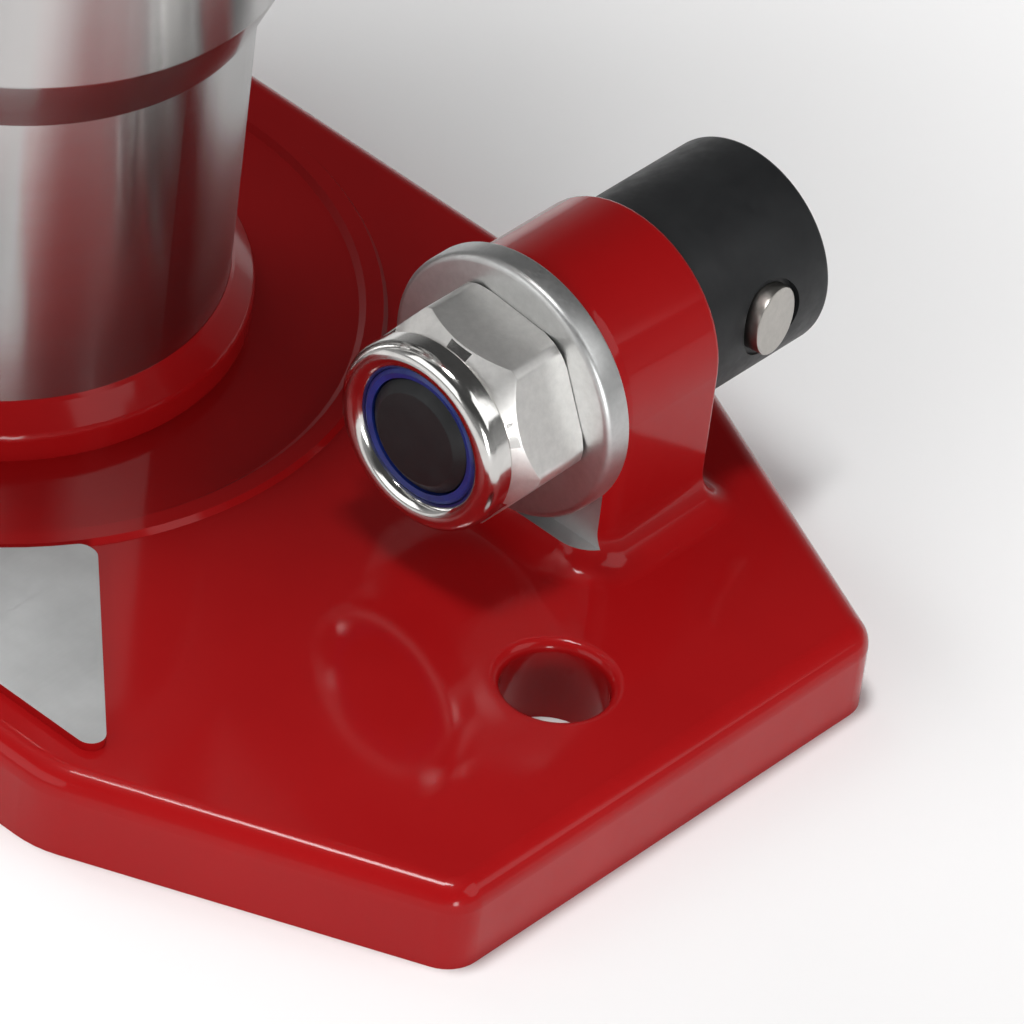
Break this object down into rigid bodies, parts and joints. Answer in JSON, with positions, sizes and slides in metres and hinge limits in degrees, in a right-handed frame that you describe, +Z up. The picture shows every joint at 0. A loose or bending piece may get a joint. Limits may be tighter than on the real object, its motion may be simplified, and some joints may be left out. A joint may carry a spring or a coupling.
{
  "type": "telescopic hydraulic cylinder",
  "caption": "Upright telescopic hydraulic cylinder on a long cast foot, smallest stage fixed, outer stages rising, with a turning lever stub on a lug and a swivel load saddle.",
  "frame": {"origin": "on the cylinder axis at the underside of the cast foot", "axes": "+Z up along the cylinder, +X along the foot towards the lug, +Y along the lever stub"},
  "size_m": [0.2352, 0.1183, 0.3871],
  "materials": {
    "red_casting": "glossy red paint over cast iron, bare where milled",
    "red_paint": "glossy red paint",
    "chrome_stage": "ground hard chrome",
    "zinc_steel": "bright zinc plate",
    "bright_nut": "bright plated",
    "plain_steel": "turned steel",
    "black_steel": "satin black oxide",
    "button_steel": "brushed face, polished side",
    "bronze": "turned bronze",
    "copper_seal": "soft copper",
    "blue_nylon": "moulded nylon",
    "seal_rubber": "matt nitrile rubber"
  },
  "bodies": {
    "base": {"cast_base": "red_casting", "plunger_tube": "chrome_stage", "plunger_foot_o_ring": "seal_rubber", "foot_lock_screw": "zinc_steel", "plunger_stop_ring": "plain_steel", "plunger_guide_ring": "bronze", "plunger_head_nut": "plain_steel", "lug_bush": "bronze", "port_fitting": "zinc_steel", "port_seal_washer": "copper_seal"},
    "middle": {"middle_gland": "chrome_stage", "middle_wiper": "seal_rubber", "middle_rod_seal": "seal_rubber", "middle_wear_ring": "bronze", "middle_gland_o_ring": "seal_rubber", "middle_sleeve": "chrome_stage", "middle_stop_ring": "plain_steel", "middle_guide_ring": "bronze", "middle_head_nut": "plain_steel"},
    "casing": {"casing_gland": "zinc_steel", "casing_wiper": "seal_rubber", "casing_rod_seal": "seal_rubber", "casing_wear_ring": "bronze", "casing_gland_o_ring": "seal_rubber", "outer_casing": "red_paint", "casing_cap": "red_paint", "cap_o_ring": "seal_rubber", "bleed_screw": "zinc_steel", "bleed_seal_washer": "copper_seal", "saddle_thrust_washer": "bronze"},
    "saddle": {"load_saddle": "black_steel", "saddle_retaining_ring": "plain_steel"},
    "stub": {"pivot_stub": "black_steel", "stub_washer": "zinc_steel", "stub_lock_nut": "bright_nut", "nylon_insert": "blue_nylon", "button_collar": "black_steel", "button_spring": "plain_steel"},
    "button": {"retaining_button": "button_steel"}
  },
  "joints": [
    {"name": "middle_slide", "type": "slide", "parent": "base", "child": "middle", "axis": [0, 0, 1], "range_m": [0, 0.15]},
    {"name": "casing_slide", "type": "slide", "parent": "middle", "child": "casing", "axis": [0, 0, 1], "range_m": [0, 0.15]},
    {"name": "saddle_turn", "type": "hinge", "parent": "casing", "child": "saddle", "pos_m": [0, 0, 0.371], "axis": [0, 0, 1], "continuous": true},
    {"name": "stub_turn", "type": "hinge", "parent": "base", "child": "stub", "pos_m": [0.072, 0.028, 0.032], "axis": [0, 1, 0], "continuous": true},
    {"name": "button_slide", "type": "slide", "parent": "stub", "child": "button", "axis": [0.9945, 0, 0.1045], "range_m": [-0.002, 0], "stiffness_N_per_m": 1200, "springref_m": 0.001, "deforming": ["button_spring"]}
  ]
}
